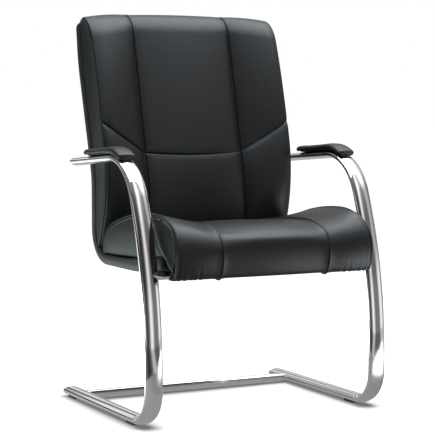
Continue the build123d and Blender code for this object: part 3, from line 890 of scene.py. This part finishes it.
# Side frames
def frame_line():
    """Centre line of a side frame in side view, runner to arm, with its heading at each point."""
    place, heading = np.array(RUNNER_REAR), math.pi
    line, headings = [place], [heading]
    for size, bend in FRAME_RUNS:
        if bend:
            turned = heading - np.radians(bend) * np.linspace(0, 1, max(50, round(size * 0.12)))[1:]
            spoke = np.array((math.sin(heading), -math.cos(heading)))
            reached = place + size * (spoke - np.stack((np.sin(turned), -np.cos(turned)), -1))
        else:
            even = np.linspace(0, size, 22)[1:-1]
            steps = np.concatenate(((0.3, 1, 3), even, size - np.array((3, 1, 0.3, 0))))
            turned = np.full(len(steps), heading)
            reached = place + steps[:, None] * np.array((math.cos(heading), math.sin(heading)))
        line.extend(reached)
        headings.extend(turned)
        place, heading = line[-1], headings[-1]
    return np.array(line), np.array(headings)


def frame_drills(sign):
    """Points and faces of the drills for a frame's pad screws, screw heads and glide pegs."""
    screws = [ARM_REAR + ARM_AHEAD * place for place in PAD_SCREWS]
    cuts = [(place, place + ARM_UP * DRILL_REACH, PAD_SCREW_BORE) for place in screws]
    cuts += [(place - ARM_UP * 0.5, place - ARM_UP * DRILL_REACH, PAD_SCREW_ACCESS) for place in screws]
    cuts += [((y, -5), (y, RUNNER_REAR[1]), GLIDE_BORE) for y in GLIDE_PEGS]
    x = sign * FRAME_HALF
    return joined(tube([(x, *start), (x, *end)], radius, DRILL_SIDES) for start, end, radius in cuts)


def make_frame(sign, side):
    """A hollow oval tube, with its holes cut in."""
    line, headings = frame_line()
    rise = np.stack((-np.sin(headings), np.cos(headings)), -1)
    angle = np.linspace(0, 2 * math.pi, TUBE_SIDES, endpoint=False)
    rings = []
    for wall in (0.0, TUBE_WALL):
        across = sign * FRAME_HALF + (TUBE_HALF - wall) * np.cos(angle)
        rings.append(swept(line, rise, across, (TUBE_RISE - wall) * np.sin(angle)).reshape(-1, 3))
    inner = len(line) * TUBE_SIDES
    last = inner - TUBE_SIDES
    faces = ring_faces(len(line), TUBE_SIDES)[:-2]
    faces += [tuple(inner + v for v in face[::-1]) for face in faces]
    for s in range(TUBE_SIDES):
        t = (s + 1) % TUBE_SIDES
        faces.append((s, inner + s, inner + t, t))
        faces.append((last + s, last + t, inner + last + t, inner + last + s))
    obj = outward(new_object("chrome_frame_" + side, np.concatenate(rings), faces))

    cutter = outward(new_object("drill", *frame_drills(sign)))
    bore = obj.modifiers.new("bore", "BOOLEAN")
    bore.object = cutter
    bore.operation = "DIFFERENCE"
    bore.solver = "EXACT"
    bored = bpy.data.meshes.new_from_object(obj.evaluated_get(bpy.context.evaluated_depsgraph_get()))
    obj.modifiers.clear()
    obj.data = bored
    bpy.data.objects.remove(cutter)
    bored.set_sharp_from_angle(angle=SHARP_EDGE)
    fit_out(obj, CHROME, "chrome_tube", "side_frame_" + side)


for sign, side in SIDES:
    make_frame(sign, side)


# Arm pads
def pad_line():
    """Points along the underside of a pad in side view, with the upward normal at each."""
    foot = ARM_REAR + ARM_AHEAD * PAD_START + ARM_UP * PAD_HEIGHT
    run = np.linspace(foot, foot + ARM_AHEAD * PAD_RUN, 60)
    angle = np.radians(np.linspace(*PAD_BEND_SPAN, 40))
    bend = PAD_BEND_CENTRE + PAD_BEND * np.stack((np.cos(angle), np.sin(angle)), -1)
    path = at_shares(np.concatenate((run[:-1], bend)), np.linspace(0, 1, 80))
    tangent = unit(np.gradient(path, axis=0))
    normal = np.stack((-tangent[:, 1], tangent[:, 0]), -1)
    return path, normal * np.sign(normal[:, 1:])


def make_pad(sign, side):
    path, normal = pad_line()
    along = lengths(path)[:, None]
    section = np.concatenate((PAD_SHAPE, PAD_SHAPE[-2:0:-1] * np.array((-1, 1))))
    full = rounded(along, PAD_REAR_END, 0.03) * rounded(along[-1] - along, PAD_FRONT_END, 0.03)
    swell = 1.08 - 0.08 * smooth_step(along, 0, 60) + 0.06 * smooth_step(along, 105, 150)
    swell -= 0.22 * smooth_step(along, 165, 212)
    high = section[:, 1] * swell * (0.66 + 0.34 * full)
    high -= 2.3 * smooth_step(along, 110, 150) * (section[:, 1] < 4)
    across = sign * FRAME_HALF + section[:, 0] * (0.72 + 0.28 * full)
    obj = ringed("arm_pad_skin_" + side, swept(path, normal, across, high))
    fit_out(obj, PAD_SKIN, "pad_black", "arm_pad_" + side)

    path, normal = path[SPACER_ROWS], normal[SPACER_ROWS]
    strip = np.concatenate((SPACER_EDGE, SPACER_EDGE[::-1] * np.array((-1, 1))))
    middle = (len(path) - 1) / 2
    taper = 1 - 0.25 * smooth_step(np.abs(np.arange(len(path)) - middle), middle - 3, middle)
    across = sign * FRAME_HALF + strip[:, 0] * taper[:, None]
    obj = ringed("arm_pad_spacer_" + side, swept(path, normal, across, strip[:, 1]))
    fit_out(obj, PLASTIC, "plastic_black", "arm_pad_base_" + side)


for sign, side in SIDES:
    make_pad(sign, side)


# Sewing thread
def stitches(path, normal):
    """Points and faces of short sewn stitches along points on a surface."""
    steps = lengths(path)
    count = len(STITCH_TAPER)
    lift = STITCH_RADIUS * (np.sin(np.linspace(0, math.pi, count)) * 1.5 - 0.5)
    shapes = []
    for begin in np.arange(STITCH_PITCH, steps[-1] - STITCH_PITCH, STITCH_PITCH):
        span = begin + np.linspace(0, STITCH_LENGTH, count)
        line = sample(path, steps, span) + sample(normal, steps, span) * lift[:, None]
        shapes.append(tube(line, STITCH_RADIUS * STITCH_TAPER, 6))
    return joined(shapes)


def make_back_stitches():
    """Stitches below the back's cross seam, one row on each panel."""
    front = back_number[:, :, 0]
    grid = points_of(back.data)[front]
    normals = normals_of(back.data)[front]
    along = lengths(grid)
    sewn = along[:, back_row] - BACK_SEWN_GAP
    spans = {
        "left": (-BACK_CORNER, -BACK_SEAM),
        "middle": (-BACK_SEAM, BACK_SEAM),
        "right": (BACK_SEAM, BACK_CORNER),
    }
    for name, (low, high) in spans.items():
        inside = (back_across > low + STITCH_MARGIN) & (back_across < high - STITCH_MARGIN)
        columns = np.nonzero(inside)[0]
        path = np.array([sample(grid[i], along[i], sewn[i]) for i in columns])
        way = np.array([sample(normals[i], along[i], sewn[i]) for i in columns])
        obj = new_object("back_stitches_" + name, *stitches(path, way))
        fit_out(obj, THREAD, "leather_black")


make_back_stitches()

# Materials of the CAD nodes that stay
KEPT = {
    CHROME: ("floor_cross_tube", "seat_cross_tube", "runner_end_plugs"),
    COATING: ("seat_rail_left", "seat_rail_right"),
    PLASTIC: ("arm_end_plugs", "front_glides", "rear_glides"),
    ZINC: ("arm_pad_screws", "seat_bolts", "seat_washers", "t_nuts"),
    WOOD: ("plywood_shell",),
}
for made, names in KEPT.items():
    for name in names:
        dress(nodes[name], made)


# Studio, in metres: world, floor, reflected surround, softbox and camera
AMBIENT = 0.25
FLOOR_HALF = 30.0
# Middle and half length of the runners along y; place along y and half length of the floor tube
RUNNER_SPAN = (0.02, 0.215)
FLOOR_TUBE_Y = 0.1765
FLOOR_TUBE_HALF = 0.29
# Floor's colour and glow near the tubes and away from them, with the distances between. The lower colour and
# glow near the tubes are a painted contact shadow
PAINTED_SHADOW_AND_FLOOR_COLOUR = (0.3, 0.94)
PAINTED_SHADOW_COLOUR_SPAN = (0.012, 0.055)
PAINTED_SHADOW_AND_FLOOR_GLOW = (0.1, 0.85)
PAINTED_SHADOW_GLOW_SPAN = (0.010, 0.055)

# Surround: strips are (level, centre, half width), over rises or turns in degrees
WALL_REACH = 4.0
WALL_MIDDLE = 0.45
WALL_HEIGHTS = np.concatenate((
    np.arange(0, 2.9, 0.05), np.arange(3.0, 5.7, 0.2), (6.5, 8.0, 10.0, 13.0, 20.0, 40.0)
))
FLOOR_REACHES = (0.0, 0.2, 0.3, 0.4, 0.5, 0.6, 0.7, 0.8, 0.9, 1.0, 1.02, 1.2, 1.5, 2.0, 3.0, 4.0)
FLOOR_CARD_Z = 0.002
TURNS = np.arange(-228, 134, 2)
REAR_LEFT, REAR_RIGHT, LEFT = -140, 118, -24
REAR_STRIPS = ((0.6, 8, 2.4), (0.6, 20, 2.4), (-0.28, 14, 2.6))
ROOM_STRIPS = ((0.95, 32, 11), (0.15, 60, 9))
UNDER_LEVEL = 0.34
WARMTH = 0.1
COOLNESS = 0.08


def maths(tree, operation, first, second=0.0):
    node = add(tree, "Math")
    node.operation = operation
    for socket, value in zip(node.inputs, (first, second)):
        if isinstance(value, float):
            socket.default_value = value
        else:
            tree.links.new(value, socket)
    return node.outputs[0]


def seen_rays(tree):
    """1 for rays that show the background: from the camera, off gloss or through glass."""
    path = add(tree, "LightPath")
    value = path.outputs["Is Camera Ray"]
    for name in ("Is Glossy Ray", "Is Transmission Ray"):
        value = maths(tree, "MAXIMUM", value, path.outputs[name])
    return value


def empty_material(name):
    made = bpy.data.materials.new(name)
    made.use_nodes = True
    made.node_tree.nodes.clear()
    return made, made.node_tree, add(made.node_tree, "OutputMaterial")


def stage_object(name, mesh, made):
    obj = bpy.data.objects.new(name, mesh)
    scene.collection.objects.link(obj)
    mesh.materials.append(made)
    return obj


def make_world():
    world = bpy.data.worlds.new("studio")
    scene.world = world
    world.use_nodes = True
    tree = world.node_tree
    tree.nodes.clear()
    out = add(tree, "OutputWorld")
    mix = add(tree, "MixShader")
    tree.links.new(seen_rays(tree), mix.inputs["Fac"])
    for socket, strength in ((1, AMBIENT), (2, 1.0)):
        light = add(tree, "Background", Color=(1, 1, 1, 1), Strength=strength)
        tree.links.new(light.outputs[0], mix.inputs[socket])
    tree.links.new(mix.outputs[0], out.inputs["Surface"])


def make_floor():
    """A pale floor that glows to white for seen rays, with a painted contact shadow: it is darker and glows
    less close to the tubes that lie on it.
    """
    mesh = bpy.data.meshes.new("floor")
    corners = [(x * FLOOR_HALF, y * FLOOR_HALF, 0) for x, y in ((-1, -1), (1, -1), (1, 1), (-1, 1))]
    mesh.from_pydata(corners, [], [(0, 1, 2, 3)])
    made, tree, out = empty_material("floor")
    diffuse = add(tree, "BsdfDiffuse")
    glow = add(tree, "Emission")
    total = add(tree, "AddShader")
    coords = add(tree, "TexCoord")
    split = add(tree, "SeparateXYZ")
    tree.links.new(coords.outputs["Object"], split.inputs[0])

    calc = partial(maths, tree)

    def beyond(value, half):
        return calc("MAXIMUM", calc("SUBTRACT", calc("ABSOLUTE", value), half))

    def length(a, b):
        squares = calc("MULTIPLY", a, a), calc("MULTIPLY", b, b)
        return calc("SQRT", calc("ADD", *squares))

    x, y = split.outputs[0], split.outputs[1]
    beside_runner = calc("SUBTRACT", calc("ABSOLUTE", x), FRAME_HALF * MM)
    past_runner = beyond(calc("SUBTRACT", y, RUNNER_SPAN[0]), RUNNER_SPAN[1])
    beside_tube = calc("SUBTRACT", y, FLOOR_TUBE_Y)
    past_tube = beyond(x, FLOOR_TUBE_HALF)
    away = calc("MINIMUM", length(beside_runner, past_runner), length(beside_tube, past_tube))
    near, far = ((level,) * 3 for level in PAINTED_SHADOW_AND_FLOOR_COLOUR)
    # Painted contact shadow: the floor's colour darkens close to the tubes
    shade = ramp(tree, ranged(tree, away, 0, 1, PAINTED_SHADOW_COLOUR_SPAN), near, far, (0, 1))
    tree.links.new(shade, diffuse.inputs["Color"])
    # Painted contact shadow: the glow drops close to the tubes
    strength = calc("MULTIPLY", ranged(tree, away, *PAINTED_SHADOW_AND_FLOOR_GLOW, PAINTED_SHADOW_GLOW_SPAN), seen_rays(tree))
    tree.links.new(strength, glow.inputs["Strength"])
    tree.links.new(diffuse.outputs[0], total.inputs[0])
    tree.links.new(glow.outputs[0], total.inputs[1])
    tree.links.new(total.outputs[0], out.inputs["Surface"])
    stage_object("floor", mesh, made)


def soft_strip(value, centre, half):
    return math.exp(-(((value - centre) / half) ** 2))


def strip_levels(value, strips):
    return sum(level * soft_strip(value, centre, half) for level, centre, half in strips)


def wall_level(turn, z):
    """Brightness of the surround's wall at a turn from the camera's side, in degrees, and a height.

    The camera's side is a dark room with two upright strips of light and a lit ceiling. The left side is
    dark above a lit floor, and the rear has level strips."""
    rise = math.degrees(math.atan((z - WALL_MIDDLE) / WALL_REACH))
    if turn < REAR_LEFT or turn > REAR_RIGHT:
        return 0.42 + strip_levels(rise, REAR_STRIPS) + 0.3 * smooth_step(rise, 28, 40)
    if turn < LEFT:
        foot = 0.85 + 2.4 * smooth_step(turn, -112, -96) * fade(turn, -48, -40)
        foot *= fade(z, 0.36, 0.52)
        return 0.06 + foot + 0.5 * soft_strip(rise, 21, 4) + 0.2 * smooth_step(rise, 30, 45)
    low = fade(rise, 5, 12)
    left = 0.75 * fade(turn, -25, -14)
    right = 0.9 * smooth_step(turn, 66, 80) * (1 - 0.75 * smooth_step(turn, 90, 106))
    room = 0.04 * low + 0.04 + strip_levels(turn, ROOM_STRIPS) * (0.85 + 0.15 * low)
    room += left * (0.15 + 0.85 * low) + right * (0.5 + 0.5 * low)
    ceiling = 0.22 + 1.6 * soft_strip(turn, 32, 13) + 0.3 * smooth_step(turn, 40, 50)
    ceiling += 1.3 * smooth_step(turn, 62, 76) * (1 - 0.6 * smooth_step(turn, 90, 110))
    return room + (ceiling - room) * smooth_step(rise, 24, 50)


def floor_level(turn, reach, x, y):
    """Brightness of the surround's floor: grey under the chair, lit at its left and in front on the right."""
    if turn > 92 or turn < REAR_LEFT:
        outer = 0.35 + 0.15 * smooth_step(reach, 0.6, 1.5)
    elif turn < -50:
        outer = np.interp(reach, (0.8, 1.1, 1.4, 2.3), (0.7, 2.1, 2.1, 0.4))
        outer += 4.0 * soft_strip(turn, -68, 26) * soft_strip(reach, 1.2, 0.5)
    else:
        outer = np.interp(turn, (-50, -30, 0, 30), (0.8, 0.42, 0.35, 0.14))
        if reach > 1.01:
            outer = 0.55 * wall_level(turn, 0.5)
        outer += 8.5 * soft_strip(x, 0.82, 0.42) * soft_strip(y, -0.72, 0.24)
    return UNDER_LEVEL + (outer - UNDER_LEVEL) * smooth_step(reach, 0.3, 0.6)


def make_card(name, steps, card_point):
    """Part of the surround, seen only in reflections. card_point gives points and levels."""
    facing = math.atan2(EYE[0] - AIM[0], AIM[1] - EYE[1])
    verts, shades = [], []
    for turn in TURNS:
        angle = facing + math.radians(turn)
        cool = COOLNESS * fade(turn, -60, -44) * smooth_step(turn, -160, -140)
        for step in steps:
            point, level = card_point(turn, step, math.sin(angle), -math.cos(angle))
            warm = WARMTH * (1 - min(1.0, level))
            tint = (1 - cool, 1 - 0.5 * warm, (1 - warm) * (1 - 0.1 * cool))
            verts.append(point)
            shades.append((*(level * share for share in tint), 1))
    grid = np.arange(len(verts)).reshape(len(TURNS), len(steps))
    mesh = bpy.data.meshes.new(name)
    mesh.from_pydata(verts, [], quads(grid).tolist())
    layer = mesh.color_attributes.new("shade", "FLOAT_COLOR", "POINT")
    layer.data.foreach_set("color", np.array(shades).ravel())
    made, tree, out = empty_material(name)
    glow = add(tree, "Emission")
    shade = add(tree, "VertexColor")
    shade.layer_name = "shade"
    tree.links.new(shade.outputs["Color"], glow.inputs["Color"])
    tree.links.new(glow.outputs[0], out.inputs["Surface"])
    card = stage_object(name, mesh, made)
    card.visible_camera = False
    card.visible_diffuse = False
    card.visible_shadow = False
    card.visible_transmission = False


def wall_point(turn, height, x, y):
    return (WALL_REACH * x, WALL_REACH * y, height), wall_level(turn, height)


def floor_point(turn, reach, x, y):
    return (reach * x, reach * y, FLOOR_CARD_Z), floor_level(turn, reach, reach * x, reach * y)


def aim(obj, place, target):
    obj.location = place
    obj.rotation_euler = (Vector(target) - Vector(place)).to_track_quat("-Z", "Y").to_euler()
    scene.collection.objects.link(obj)


def make_softbox():
    lamp = bpy.data.lights.new("top_softbox", "AREA")
    lamp.shape = "RECTANGLE"
    lamp.size, lamp.size_y = 2.2, 1.5
    lamp.energy = 47
    lamp.color = (0.94, 0.98, 1.0)
    aim(bpy.data.objects.new("top_softbox", lamp), (0.25, 0.05, 2.0), (0.25, 0.05, 0))


def make_camera():
    camera = bpy.data.objects.new("camera", bpy.data.cameras.new("camera"))
    camera.data.lens = LENS
    camera.data.sensor_width = 36.0
    camera.data.clip_end = 100.0
    aim(camera, EYE, AIM)
    scene.camera = camera


make_world()
make_floor()
make_card("surround", WALL_HEIGHTS, wall_point)
make_card("surround_floor", FLOOR_REACHES, floor_point)
make_softbox()
make_camera()
scene.view_settings.view_transform = "Standard"
